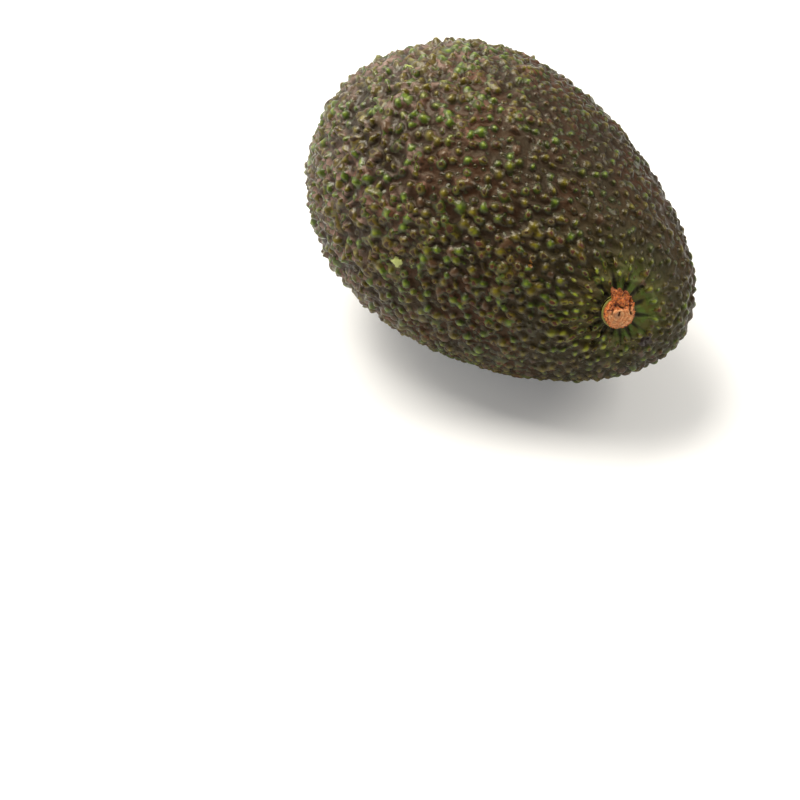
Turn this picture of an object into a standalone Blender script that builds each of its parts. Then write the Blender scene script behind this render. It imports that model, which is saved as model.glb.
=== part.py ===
"""A whole ripe avocado lying on its side, in metres.

Two pieces: the pebbled fruit, and the dry woody stem button that sits in its cavity.
The long axis runs along X with the stem end at +X, and Z is up.
The origin is the middle of the small flat spot that the fruit rests on.
"""

import math
import random

import bmesh
import bpy
import numpy as np
from mathutils import Vector
from mathutils.geometry import delaunay_2d_cdt

MM = 0.001

# Form of the fruit: an egg of revolution, slimmer towards the stem end
FRUIT_LENGTH = 100 * MM
HALF_LENGTH = FRUIT_LENGTH / 2
HALF_WIDTH = 34.4 * MM
TAPER = 0.203
FULLNESS = -0.028
FULLNESS_LEVEL = 0.3
UNDULATION = 0.35 * MM

# Two places where it bulges past an even egg: direction from its middle, and height
BULGES = (((-0.90, -0.10, 0.42), 1.1 * MM), ((0.60, 0.69, 0.40), 0.75 * MM))
BULGE_SPREAD = 0.12

# Flat spot it rests on, as an angle seen from the middle of the fruit
FOOT_ANGLE = 0.165
FOOT_SIDES = 24
GROUND_CLEARANCE = 0.2 * MM

# Stem end: where the stem leaves the skin, its cavity and the puckers round it
STEM_ALONG = 0.81
STEM_ROUND = math.radians(140)
CAVITY_DEPTH = 1.7 * MM
CAVITY_REACH = 8.0 * MM
PUCKERS = 15
PUCKER_DEPTH = 0.5 * MM
PUCKER_REACH = 6.0 * MM
PUCKER_UNEVENNESS = 0.35
SOCKET_RADIUS = 3.6 * MM
SOCKET_DEPTH = 1.7 * MM
SOCKET_FLOOR_RADIUS = 3.35 * MM
COLLAR_RISE = 0.45 * MM
COLLAR_WIDTH = 1.1 * MM
PUCKER_RINGS = (4.5 * MM, 5.8 * MM, 7.3 * MM, 9.0 * MM)

# Nodules of the skin: the coarse ones, a little larger than life
NODULE_SEED = 11
NODULE_DARTS = 45000
NODULE_SPACING = 4.65 * MM
NODULE_RADIUS = 0.455
NODULE_FOOT_SIDES = 6
NODULE_TOP_SIDES = 3
NODULE_TOP_RADIUS = 0.5
NODULE_HEIGHT = 0.95 * MM
STEM_CLEAR = 11.2 * MM
STEM_FADE = 24.0 * MM

# Stem button: radius and height of its rings, the heights taken from the rim of its cavity
BUTTON_PROFILE = (
    (2.70 * MM, -1.25 * MM),
    (2.95 * MM, -0.90 * MM),
    (3.05 * MM, 0.25 * MM),
    (3.30 * MM, 1.00 * MM),
    (3.45 * MM, 1.90 * MM),
    (3.25 * MM, 2.60 * MM),
    (2.70 * MM, 2.95 * MM),
    (1.60 * MM, 2.75 * MM),
)
BUTTON_HOLLOW = 0.1 * MM
BUTTON_SIDES = 24
BUTTON_FLUTES = 7
BUTTON_FLUTE_DEPTH = 0.1 * MM
BARK_SCRAP_ROUND = math.radians(135)
BARK_SCRAP_SPREAD = math.radians(24)
BARK_SCRAP_REACH = 2.2 * MM
BARK_SCRAP_LIFT = 0.9 * MM
BARK_SCRAP_START = 0.25 * MM
BARK_SCRAP_FULL = 1.9 * MM

SKIN = ((0.055, 0.062, 0.022), 0.42)
STEM_WOOD = ((0.42, 0.17, 0.06), 0.75)


def swell(along):
    """How full the fruit is at a place along its axis, from -1 at the blossom end to 1."""
    return 1 - TAPER * along + FULLNESS * (along * along - FULLNESS_LEVEL)


def on_body(directions):
    """The smooth fruit's surface points for unit directions, one row each."""
    radius = HALF_WIDTH * swell(directions[:, 0])
    return np.column_stack(
        [HALF_LENGTH * directions[:, 0], radius * directions[:, 1], radius * directions[:, 2]]
    )


def to_directions(points):
    """The unit directions of points on or near the smooth fruit."""
    along = np.clip(points[:, 0] / HALF_LENGTH, -1, 1)
    radius = HALF_WIDTH * swell(along)
    found = np.column_stack([along, points[:, 1] / radius, points[:, 2] / radius])
    return found / np.linalg.norm(found, axis=1)[:, None]


def body_normals(directions):
    """Outward normals of the smooth fruit, from the gradient of its equation."""
    along = directions[:, 0]
    full = swell(along)
    growth = -TAPER + 2 * FULLNESS * along
    across = directions[:, 1:] / (HALF_WIDTH * full)[:, None]
    lengthwise = (along - (1 - along * along) * growth / full) / HALF_LENGTH
    found = np.column_stack([lengthwise, across])
    return found / np.linalg.norm(found, axis=1)[:, None]


def resting_place():
    """Place along the axis and pitch at which the fruit balances: the skin nearest its centroid."""
    along = np.linspace(-0.6, 0.6, 4001)
    whole = np.linspace(-1, 1, 4001)
    section = (1 - whole * whole) * swell(whole) ** 2
    centroid = HALF_LENGTH * (whole * section).sum() / section.sum()
    radius = HALF_WIDTH * np.sqrt(1 - along * along) * swell(along)
    nearest = np.argmin((HALF_LENGTH * along - centroid) ** 2 + radius**2)
    slope = np.gradient(radius, HALF_LENGTH * along)[nearest]
    return along[nearest], math.atan(-slope)


REST_ALONG, PITCH = resting_place()
FOOT_AXIS = np.array([REST_ALONG, 0.0, -math.sqrt(1 - REST_ALONG**2)])
FOOT_SIDE = np.array([0.0, 1.0, 0.0])
FOOT_AHEAD = np.cross(FOOT_SIDE, FOOT_AXIS)


def pitched(points):
    """Points turned about Y so that the stem end dips by the resting pitch."""
    c, s = math.cos(PITCH), math.sin(PITCH)
    return np.column_stack(
        [points[:, 0] * c + points[:, 2] * s, points[:, 1], points[:, 2] * c - points[:, 0] * s]
    )


def ring(centre, first, second, radius, sides, turn=0.0):
    """Points evenly round a circle in the plane of two unit vectors."""
    angles = turn + np.arange(sides) * (2 * math.pi / sides)
    return centre + radius * (np.outer(np.cos(angles), first) + np.outer(np.sin(angles), second))


def foot_ring():
    """Directions of the flat spot's edge."""
    return ring(
        FOOT_AXIS * math.cos(FOOT_ANGLE), FOOT_AHEAD, FOOT_SIDE, math.sin(FOOT_ANGLE), FOOT_SIDES
    )


ORIGIN = pitched(on_body(foot_ring())).mean(axis=0)


def in_place(points):
    """Points of the fruit's own frame moved to where it lies on the ground."""
    return pitched(points) - ORIGIN


def tangents(normal):
    """Two unit vectors across a normal: the first points to the stem end as far as it can."""
    first = np.array([1.0, 0.0, 0.0]) - normal[0] * normal
    first /= np.linalg.norm(first)
    return first, np.cross(normal, first)


def stem_site():
    """Point, outward normal and the two tangents where the stem leaves the skin."""
    off_axis = math.sqrt(1 - STEM_ALONG**2)
    direction = np.array(
        [[STEM_ALONG, off_axis * math.cos(STEM_ROUND), off_axis * math.sin(STEM_ROUND)]]
    )
    normal = body_normals(direction)[0]
    return on_body(direction)[0], normal, *tangents(normal)


STEM_POINT, STEM_NORMAL, STEM_FIRST, STEM_SECOND = stem_site()


def round_stem(points):
    """Distance from the stem's axis and angle round it."""
    away = points - STEM_POINT
    first, second = away @ STEM_FIRST, away @ STEM_SECOND
    reach = np.where(away @ STEM_NORMAL > -HALF_LENGTH / 2, np.hypot(first, second), HALF_LENGTH)
    return reach, np.arctan2(second, first)


def smooth_step(values, low, high):
    share = np.clip((values - low) / (high - low), 0, 1)
    return share * share * (3 - 2 * share)


def ground_relief(directions, points):
    """Height of the skin between the nodules: undulation, bulges, stem cavity and puckers."""
    x, y, z = directions.T
    reach, angle = round_stem(points)
    height = np.sin(3.1 * x + 2.2 * y + 0.7) + np.sin(3.7 * z - 2.6 * y + 1.9 * x)
    height *= UNDULATION * smooth_step(reach, CAVITY_REACH, STEM_FADE)
    for toward, rise in BULGES:
        height += rise * np.exp((directions @ np.array(toward) - 1) / BULGE_SPREAD)
    height -= CAVITY_DEPTH * np.exp(-((reach / CAVITY_REACH) ** 2))
    height += COLLAR_RISE * np.exp(-(((reach - SOCKET_RADIUS) / COLLAR_WIDTH) ** 2))
    fade = np.exp(-(((reach - SOCKET_RADIUS) / PUCKER_REACH) ** 2))
    fade *= smooth_step(reach, SOCKET_RADIUS, PUCKER_RINGS[1])
    fade *= 1 + PUCKER_UNEVENNESS * np.cos(4 * angle + 1)
    return height + PUCKER_DEPTH * fade * np.cos(PUCKERS * angle)


def scatter_nodules():
    """Random nodule centres at least a spacing apart, with their radii: darts thrown at the skin."""
    rnd = random.Random(NODULE_SEED)
    points = np.empty((0, 3))
    radii = []
    for _ in range(NODULE_DARTS):
        dart = np.array([[rnd.gauss(0, 1), rnd.gauss(0, 1), rnd.gauss(0, 1)]])
        dart /= np.linalg.norm(dart)
        size = rnd.uniform(0.82, 1.0)
        point = on_body(dart)
        spacing = NODULE_SPACING * (1.0 - 0.07 * dart[0, 0])
        if round_stem(point)[0][0] < STEM_CLEAR:
            continue
        if dart[0] @ FOOT_AXIS > math.cos(FOOT_ANGLE * 1.35):
            continue
        if len(points) and np.min(((points - point) ** 2).sum(axis=1)) < spacing**2:
            continue
        points = np.vstack([points, point])
        radii.append(spacing * size * NODULE_RADIUS)
    return points, np.array(radii)


def nodule_height(points, radii):
    """Nodules stand lower where they are small, and flatten out towards the stem."""
    reach, _ = round_stem(points)
    fade = 0.5 + 0.5 * smooth_step(reach, STEM_CLEAR, STEM_FADE)
    return NODULE_HEIGHT * fade * radii / (NODULE_RADIUS * NODULE_SPACING)


def skin_points():
    """Every point of the fruit's mesh as a direction, with its height above the ground of the skin."""
    centres, radii = scatter_nodules()
    directions = [foot_ring()]
    rises = [np.zeros(FOOT_SIDES)]

    heights = nodule_height(centres, radii)
    normals = body_normals(to_directions(centres))
    for index, (centre, normal, radius, height) in enumerate(zip(centres, normals, radii, heights)):
        first, second = tangents(normal)
        foot = ring(centre, first, second, radius, NODULE_FOOT_SIDES, turn=index)
        top = ring(centre, first, second, radius * NODULE_TOP_RADIUS, NODULE_TOP_SIDES, turn=index)
        directions.append(to_directions(np.vstack([foot, top])))
        rises.append(np.append(np.zeros(NODULE_FOOT_SIDES), np.full(NODULE_TOP_SIDES, height)))

    floor = ring(STEM_POINT, STEM_FIRST, STEM_SECOND, SOCKET_FLOOR_RADIUS, 2 * PUCKERS)
    sunk = to_directions(np.vstack([STEM_POINT, floor]))
    directions.append(sunk)
    rises.append(np.full(len(sunk), -SOCKET_DEPTH))
    for radius in (SOCKET_RADIUS, *PUCKER_RINGS):
        edge = ring(STEM_POINT, STEM_FIRST, STEM_SECOND, radius, 2 * PUCKERS)
        directions.append(to_directions(edge))
        rises.append(np.zeros(2 * PUCKERS))
    return np.vstack(directions), np.concatenate(rises)


def flattened(directions):
    """Directions spread on a plane, seen from the foot, so that the foot's edge is the outermost ring."""
    depth = 1 - directions @ FOOT_AXIS
    return np.column_stack([directions @ FOOT_AHEAD / depth, directions @ FOOT_SIDE / depth])


def new_object(name, mesh, finish):
    colour, roughness = finish
    material = bpy.data.materials.new(name)
    material.use_nodes = True
    surface = material.node_tree.nodes["Principled BSDF"]
    surface.inputs["Base Color"].default_value = (*colour, 1)
    surface.inputs["Roughness"].default_value = roughness
    surface.inputs["Metallic"].default_value = 0.0
    mesh.materials.append(material)
    mesh.shade_smooth()
    made = bpy.data.objects.new(name, mesh)
    bpy.context.scene.collection.objects.link(made)
    return made


def closed_mesh(name, points, faces):
    """A mesh with its faces turned outwards."""
    mesh = bpy.data.meshes.new(name)
    mesh.from_pydata([tuple(p) for p in points], [], faces)
    shell = bmesh.new()
    shell.from_mesh(mesh)
    bmesh.ops.recalc_face_normals(shell, faces=shell.faces)
    shell.to_mesh(mesh)
    shell.free()
    return mesh


def build_fruit():
    """The fruit: skin points joined by triangles, closed by the flat spot underneath."""
    directions, rises = skin_points()
    smooth = on_body(directions)
    heights = rises + ground_relief(directions, smooth)
    points = in_place(smooth + heights[:, None] * body_normals(directions))
    points[:, 2] = np.maximum(points[:, 2], GROUND_CLEARANCE)
    points[:FOOT_SIDES, 2] = 0.0
    plane = [Vector(p) for p in flattened(directions)]
    triangles = delaunay_2d_cdt(plane, [], [], 0, 1e-7)[2]
    faces = [tuple(t) for t in triangles] + [tuple(reversed(range(FOOT_SIDES)))]
    return new_object("fruit", closed_mesh("fruit", points, faces), SKIN)


def button_ring(level):
    """One ring of the stem button, fluted, and drawn out where the scrap of bark stands."""
    radius, height = BUTTON_PROFILE[level]
    angle = np.arange(BUTTON_SIDES) * (2 * math.pi / BUTTON_SIDES)
    turn = (angle - BARK_SCRAP_ROUND + math.pi) % (2 * math.pi) - math.pi
    scrap = np.exp(-((turn / BARK_SCRAP_SPREAD) ** 2))
    scrap *= smooth_step(height, BARK_SCRAP_START, BARK_SCRAP_FULL)
    flute = BUTTON_FLUTE_DEPTH * np.cos(BUTTON_FLUTES * angle + 0.8 * level)
    out = radius + flute + BARK_SCRAP_REACH * scrap
    lift = height + COLLAR_RISE - CAVITY_DEPTH + BARK_SCRAP_LIFT * scrap
    across = np.outer(np.cos(angle) * out, STEM_FIRST) + np.outer(np.sin(angle) * out, STEM_SECOND)
    return STEM_POINT + across + np.outer(lift, STEM_NORMAL)


def build_stem_button():
    """The stem button: fluted woody rings from its sunk base to its broken top."""
    rings = [button_ring(level) for level in range(len(BUTTON_PROFILE))]
    base = rings[0].mean(axis=0)
    top = rings[-1].mean(axis=0) - BUTTON_HOLLOW * STEM_NORMAL
    points = np.vstack([*rings, base, top])
    base_index, top_index = len(points) - 2, len(points) - 1
    last = (len(rings) - 1) * BUTTON_SIDES
    faces = []
    for side in range(BUTTON_SIDES):
        after = (side + 1) % BUTTON_SIDES
        faces.append((base_index, after, side))
        faces.append((top_index, last + side, last + after))
        for low in range(0, last, BUTTON_SIDES):
            high = low + BUTTON_SIDES
            faces.append((low + side, low + after, high + after))
            faces.append((low + side, high + after, high + side))
    mesh = closed_mesh("stem_button", in_place(points), faces)
    return new_object("stem_button", mesh, STEM_WOOD)


def clear_scene():
    for thing in list(bpy.data.objects):
        bpy.data.objects.remove(thing)


clear_scene()
fruit = build_fruit()
stem_button = build_stem_button()
print("pitch", round(math.degrees(PITCH), 2), "degrees, fruit triangles", len(fruit.data.polygons))
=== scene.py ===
# %% [markdown]
# # A ripe avocado in Blender
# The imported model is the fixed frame: a pebbled egg with a stem button, at its real size, lying on
# its side. This script dresses it. The fruit gets a fine skin with every nodule, fold and pucker,
# and the stem button gets its torn bark and its cut wood.

# %% Load the frame
import math
import random

import bpy
import numpy as np
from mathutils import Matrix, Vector, noise
from mathutils.geometry import delaunay_2d_cdt
from mathutils.kdtree import KDTree


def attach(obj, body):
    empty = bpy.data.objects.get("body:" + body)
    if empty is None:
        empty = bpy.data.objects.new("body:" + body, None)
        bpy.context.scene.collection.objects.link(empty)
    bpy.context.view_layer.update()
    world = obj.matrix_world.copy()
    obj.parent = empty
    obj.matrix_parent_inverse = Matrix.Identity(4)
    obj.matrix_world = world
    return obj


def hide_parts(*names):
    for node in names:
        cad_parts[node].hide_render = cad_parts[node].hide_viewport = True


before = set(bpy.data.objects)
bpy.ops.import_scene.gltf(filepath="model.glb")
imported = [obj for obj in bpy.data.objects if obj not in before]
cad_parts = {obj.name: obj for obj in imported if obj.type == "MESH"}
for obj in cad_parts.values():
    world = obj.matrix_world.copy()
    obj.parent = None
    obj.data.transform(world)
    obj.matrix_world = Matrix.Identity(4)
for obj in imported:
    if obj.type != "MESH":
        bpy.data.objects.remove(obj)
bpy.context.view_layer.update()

MM = 0.001

# %% [markdown]
# ## The camera
# The picture looks down on the fruit by about 40 degrees, from the side of the stem. A long lens
# from 0.85 m gives the same mild perspective. The camera is aimed past the fruit rather than
# shifted, so that the fruit falls in the upper right of the frame.

# %% Place the camera
VIEW_AZIMUTH = math.radians(37.1)
VIEW_ELEVATION = math.radians(40)
VIEW_DISTANCE = 850 * MM
FRAME_PIXELS = 800
PIXELS_PER_MM = 4.316
FRUIT_AT_PIXEL = (502, 220)
SENSOR_WIDTH = 36.0
LENS = SENSOR_WIDTH * VIEW_DISTANCE / (FRAME_PIXELS / PIXELS_PER_MM * MM)


def toward_viewer(azimuth, elevation):
    """The unit vector from the fruit towards someone who looks at it from those angles."""
    level = math.cos(elevation)
    return Vector((math.sin(azimuth) * level, -math.cos(azimuth) * level, math.sin(elevation)))


def add_camera(centre):
    """A camera at the photographed angle, aimed so that centre lands at its place in the frame."""
    back = toward_viewer(VIEW_AZIMUTH, VIEW_ELEVATION)
    right = Vector((math.cos(VIEW_AZIMUTH), math.sin(VIEW_AZIMUTH), 0))
    up = back.cross(right)
    aside = (FRUIT_AT_PIXEL[0] - FRAME_PIXELS / 2) / PIXELS_PER_MM * MM
    above = (FRAME_PIXELS / 2 - FRUIT_AT_PIXEL[1]) / PIXELS_PER_MM * MM
    data = bpy.data.cameras.new("camera")
    data.sensor_width = SENSOR_WIDTH
    data.lens = LENS
    camera = bpy.data.objects.new("camera", data)
    camera.location = centre + back * VIEW_DISTANCE
    target = centre - right * aside - up * above
    camera.rotation_euler = (target - camera.location).to_track_quat("-Z", "Y").to_euler()
    bpy.context.scene.collection.objects.link(camera)
    bpy.context.scene.camera = camera


print("a lens of", round(LENS), "mm, from", VIEW_DISTANCE, "m away")

# %% [markdown]
# ## The form of the fruit
# A real avocado of this kind is an egg of revolution. Each point of it is a direction from the
# middle, pushed out to the egg's surface. One formula gives the whole body, so that a nodule
# anywhere can be asked for by its direction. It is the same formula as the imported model's.

# %% The egg
HALF_LENGTH = 50 * MM
HALF_WIDTH = 34.4 * MM
TAPER = 0.203
FULLNESS = -0.028
FULLNESS_LEVEL = 0.3
FOOT_ANGLE = 0.165
FOOT_SIDES = 24


def swell(along):
    """How full the fruit is at a place along its axis, from -1 at the blossom end to 1."""
    return 1 - TAPER * along + FULLNESS * (along * along - FULLNESS_LEVEL)


def on_body(directions):
    """The smooth fruit's surface points for unit directions, one row each."""
    radius = HALF_WIDTH * swell(directions[:, 0])
    return np.column_stack(
        [HALF_LENGTH * directions[:, 0], radius * directions[:, 1], radius * directions[:, 2]]
    )


def to_directions(points):
    """The unit directions of points on or near the smooth fruit."""
    along = np.clip(points[:, 0] / HALF_LENGTH, -1, 1)
    radius = HALF_WIDTH * swell(along)
    found = np.column_stack([along, points[:, 1] / radius, points[:, 2] / radius])
    return found / np.linalg.norm(found, axis=1)[:, None]


def body_normals(directions):
    """Outward normals of the smooth fruit, from the gradient of its equation."""
    along = directions[:, 0]
    full = swell(along)
    growth = -TAPER + 2 * FULLNESS * along
    across = directions[:, 1:] / (HALF_WIDTH * full)[:, None]
    lengthwise = (along - (1 - along * along) * growth / full) / HALF_LENGTH
    found = np.column_stack([lengthwise, across])
    return found / np.linalg.norm(found, axis=1)[:, None]


print("the smooth fruit is", 2 * HALF_LENGTH / MM, "mm long")

# %% [markdown]
# A fruit rolls until the skin under its centroid touches the table. The pitch at which it lies is
# therefore worked out from the egg itself, and the origin is the middle of the flat spot.

# %% Where it rests
def resting_place():
    """Place along the axis and pitch at which the fruit balances: the skin nearest its centroid."""
    along = np.linspace(-0.6, 0.6, 4001)
    whole = np.linspace(-1, 1, 4001)
    section = (1 - whole * whole) * swell(whole) ** 2
    centroid = HALF_LENGTH * (whole * section).sum() / section.sum()
    radius = HALF_WIDTH * np.sqrt(1 - along * along) * swell(along)
    nearest = np.argmin((HALF_LENGTH * along - centroid) ** 2 + radius**2)
    slope = np.gradient(radius, HALF_LENGTH * along)[nearest]
    return along[nearest], math.atan(-slope)


REST_ALONG, PITCH = resting_place()
FOOT_AXIS = np.array([REST_ALONG, 0.0, -math.sqrt(1 - REST_ALONG**2)])
FOOT_SIDE = np.array([0.0, 1.0, 0.0])
FOOT_AHEAD = np.cross(FOOT_SIDE, FOOT_AXIS)


def pitched(points):
    """Points turned about Y so that the stem end dips by the resting pitch."""
    c, s = math.cos(PITCH), math.sin(PITCH)
    return np.column_stack(
        [points[:, 0] * c + points[:, 2] * s, points[:, 1], points[:, 2] * c - points[:, 0] * s]
    )


def foot_ring():
    """Directions of the flat spot's edge."""
    angle = np.arange(FOOT_SIDES) * (2 * math.pi / FOOT_SIDES)
    across = np.outer(np.cos(angle), FOOT_AHEAD) + np.outer(np.sin(angle), FOOT_SIDE)
    return FOOT_AXIS * math.cos(FOOT_ANGLE) + math.sin(FOOT_ANGLE) * across


ORIGIN = pitched(on_body(foot_ring())).mean(axis=0)


def in_place(points):
    """Points of the fruit's own frame moved to where it lies on the ground."""
    return pitched(points) - ORIGIN


def spot(point):
    """One point of the fruit's own frame, moved the same way."""
    return tuple(in_place(np.array([point]))[0])


MIDDLE = Vector(spot((0.0, 0.0, 0.0)))
add_camera(MIDDLE)
print("it lies pitched by", round(math.degrees(PITCH), 1), "degrees, its middle at", MIDDLE)

# %% [markdown]
# ## Where the stem leaves
# The stem leaves the skin a little to one side of the tip. Everything round it is measured as a
# distance from the stem's axis and an angle round it, so both are worked out for any point here.

# %% The stem's place
STEM_ALONG = 0.81
STEM_ROUND = math.radians(140)


def tangents(normals):
    """Two unit vectors across each normal: the first points to the stem end as far as it can."""
    first = np.array([1.0, 0.0, 0.0]) - normals[:, :1] * normals
    first /= np.linalg.norm(first, axis=1)[:, None]
    return first, np.cross(normals, first)


def stem_site():
    """Point, outward normal and the two tangents where the stem leaves the skin."""
    off_axis = math.sqrt(1 - STEM_ALONG**2)
    direction = np.array(
        [[STEM_ALONG, off_axis * math.cos(STEM_ROUND), off_axis * math.sin(STEM_ROUND)]]
    )
    normal = body_normals(direction)
    first, second = tangents(normal)
    return on_body(direction)[0], normal[0], first[0], second[0]


STEM_POINT, STEM_NORMAL, STEM_FIRST, STEM_SECOND = stem_site()


def round_stem(points):
    """Distance from the stem's axis and angle round it."""
    away = points - STEM_POINT
    first, second = away @ STEM_FIRST, away @ STEM_SECOND
    reach = np.where(away @ STEM_NORMAL > -HALF_LENGTH / 2, np.hypot(first, second), HALF_LENGTH)
    return reach, np.arctan2(second, first)


print("the stem leaves the skin at", [round(c / MM, 1) for c in spot(STEM_POINT)])

# %% [markdown]
# ## Puckers, cavity and swellings
# The skin between the nodules isn't smooth either. Round the stem it sinks into a cavity, with a
# collar that grips the button, and it is drawn into puckers. A pucker is a smooth fold between two
# sharp creases, and no two are equally wide or long, so the creases are shifted round and each
# gets a length of its own. A few low swellings make the egg's outline less perfect.

# %% The ground's relief
CAVITY_DEPTH = 1.7 * MM
CAVITY_REACH = 8.0 * MM
SOCKET_RADIUS = 3.6 * MM
SOCKET_DEPTH = 1.7 * MM
SOCKET_FLOOR_RADIUS = 3.35 * MM
COLLAR_RISE = 0.45 * MM
COLLAR_WIDTH = 1.1 * MM
PUCKERS = 14
PUCKER_DEPTH = 0.7 * MM
PUCKER_WIDTH = 0.3 * MM
PUCKER_REACH = (3.0 * MM, 9.5 * MM)
WRINKLES = 33
WRINKLE_DROP = 0.2 * MM
WRINKLE_WIDTH = 0.2 * MM
WRINKLE_LENGTHS = (1.5 * MM, 5.0 * MM)
CREASE_START = 3.9 * MM
CREASE_FULL = 4.7 * MM
CREASE_SEED = 8
STEM_FADE = 24.0 * MM
UNDULATION = 0.35 * MM
# Each swelling: its direction from the fruit's middle and its height
BULGES = (
    ((-0.90, -0.10, 0.42), 1.1 * MM),
    ((0.60, 0.69, 0.40), 0.75 * MM),
    ((0.89, 0.456, 0.0), 1.25 * MM),
)
BULGE_SPREAD = 0.12


def smooth_step(values, low, high):
    share = np.clip((values - low) / (high - low), 0, 1)
    return share * share * (3 - 2 * share)


def creases(reach, angle, count, width, lengths):
    """1 in the bottom of the creases that run out from the stem, and 0 up on the folds."""
    rng = np.random.default_rng(CREASE_SEED + count)
    length = rng.uniform(*lengths, count)
    shift = 2.2 * np.sin(angle + 0.6) + 1.2 * np.sin(2 * angle + 2.1)
    shift += 0.5 * np.sin(reach / (2.6 * MM) + 3 * angle)
    turns = (count * angle + shift) / (2 * math.pi)
    number = np.round(turns).astype(int) % count
    arc = np.abs(turns - np.round(turns)) * 2 * math.pi * reach / count
    fade = smooth_step(reach, CREASE_START, CREASE_FULL)
    fade *= np.exp(-((np.maximum(reach - CREASE_FULL, 0) / length[number]) ** 2))
    return fade * np.exp(-arc / width)


def ground_relief(directions, points):
    """Height of the skin between the nodules: undulation, bulges, stem cavity and puckers."""
    x, y, z = directions.T
    reach, angle = round_stem(points)
    height = np.sin(3.1 * x + 2.2 * y + 0.7) + np.sin(3.7 * z - 2.6 * y + 1.9 * x)
    height *= UNDULATION * smooth_step(reach, CAVITY_REACH, STEM_FADE)
    for toward, rise in BULGES:
        height += rise * np.exp((directions @ np.array(toward) - 1) / BULGE_SPREAD)
    height -= CAVITY_DEPTH * np.exp(-((reach / CAVITY_REACH) ** 2))
    height += COLLAR_RISE * np.exp(-(((reach - SOCKET_RADIUS) / COLLAR_WIDTH) ** 2))
    height -= PUCKER_DEPTH * creases(reach, angle, PUCKERS, PUCKER_WIDTH, PUCKER_REACH)
    height -= WRINKLE_DROP * creases(reach, angle, WRINKLES, WRINKLE_WIDTH, WRINKLE_LENGTHS)
    return height - SOCKET_DEPTH * (reach < (SOCKET_FLOOR_RADIUS + SOCKET_RADIUS) / 2)


print(PUCKERS, "puckers run into a cavity", CAVITY_DEPTH / MM, "mm deep")

# %% [markdown]
# ## Where the nodules sit
# The skin's nodules are spread evenly but never in rows. Throwing darts, and keeping only those
# that land a set distance from all the others, gives just that. The first darts are the packed
# model's own, with the same seed, so its large nodules stay where they are. The gaps between them
# are then filled with ordinary nodules, closer together in some places than in others.

# %% Throw the darts
CLEAR_OF_FOOT = math.cos(1.35 * FOOT_ANGLE)
NODULE_SEED = 11
LARGE_DARTS = 45000
LARGE_SPACING = 4.65 * MM
LARGE_CLEAR = 11.2 * MM
FILL_SEED = 23
FILL_DARTS = 90000
FILL_SPACING = 2.3 * MM
FILL_CLEAR = 7.0 * MM
NEAR_SIDE = math.radians(-153)
NEAR_SIDE_GAIN = 2.3 * MM
CROWDING = 0.06
LARGE_CROWDING = 0.07
DART_SIZES = (0.82, 1.0)


def crowding(directions):
    """How far apart nodules stay at a place, as a share of the usual: slow waves over the skin."""
    x, y, z = directions.T
    waves = np.sin(4.1 * x - 3.3 * y + 0.4) + np.sin(5.2 * z + 2.3 * y - 1.1)
    return 1 + CROWDING * waves


def stem_clear(points):
    """How near to the stem a nodule may sit: nearest on the side with the fewest puckers."""
    _, angle = round_stem(points)
    return FILL_CLEAR - NEAR_SIDE_GAIN * np.cos(angle - NEAR_SIDE)


def throw_darts(rnd, count, spacing, kept, large=False):
    """Adds to kept the darts at least a spacing apart, off the foot and clear of the stem."""
    throws = np.array(
        [[rnd.gauss(0, 1) for _ in range(3)] + [rnd.uniform(*DART_SIZES)] for _ in range(count)]
    )
    darts = throws[:, :3] / np.linalg.norm(throws[:, :3], axis=1)[:, None]
    apart = spacing * (1.0 - LARGE_CROWDING * darts[:, 0] if large else crowding(darts))
    points = on_body(darts)
    on_skin = round_stem(points)[0] >= (LARGE_CLEAR if large else stem_clear(points))
    on_skin &= darts @ FOOT_AXIS <= CLEAR_OF_FOOT
    found = np.zeros((len(kept) + count, 4))
    found[: len(kept)] = kept
    number = len(kept)
    for point, gap, size in zip(points[on_skin], apart[on_skin], throws[on_skin, 3]):
        near = found[:number, :3]
        if number and ((near - point) ** 2).sum(axis=1).min() < gap**2:
            continue
        found[number] = (*point, size)
        number += 1
    return found[:number]


large_nodules = throw_darts(
    random.Random(NODULE_SEED), LARGE_DARTS, LARGE_SPACING, np.zeros((0, 4)), large=True
)
print(len(large_nodules), "large nodules")

# %% [markdown]
# Some nodules get a twin that grows into them, and small ones fill what is left.

# %% Twins and small nodules
TWIN_SHARE = 0.1
TWIN_GAP = 1.55 * MM
TWIN_SIZES = (0.72, 0.95)
SMALL_DARTS = 40000
SMALL_SPACING = 1.6 * MM


def twins(rnd, kept):
    """A second nodule close beside some of those kept, so that the two grow together."""
    made = []
    for row in kept:
        if rnd.random() > TWIN_SHARE:
            continue
        beside = row[:3] + TWIN_GAP * np.array([rnd.gauss(0, 0.6) for _ in range(3)])
        direction = to_directions(beside[None])
        far_enough = np.linalg.norm(on_body(direction)[0] - row[:3]) > 0.7 * TWIN_GAP
        on_skin = direction[0] @ FOOT_AXIS < CLEAR_OF_FOOT
        off_stem = round_stem(on_body(direction))[0][0] > stem_clear(on_body(direction))[0]
        if far_enough and on_skin and off_stem:
            made.append([*on_body(direction)[0], rnd.uniform(*TWIN_SIZES)])
    return np.array(made)


def scatter():
    """All nodules as rows of centre and size, with the number of those that aren't small."""
    rnd = random.Random(FILL_SEED)
    kept = throw_darts(rnd, FILL_DARTS, FILL_SPACING, large_nodules)
    kept = np.vstack([kept, twins(rnd, kept)])
    return throw_darts(rnd, SMALL_DARTS, SMALL_SPACING, kept), len(kept)


nodules, ordinary_count = scatter()
large_count = len(large_nodules)
centres, draws = nodules[:, :3], nodules[:, 3]
print(ordinary_count - large_count, "ordinary and", len(centres) - ordinary_count, "small nodules")

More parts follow.
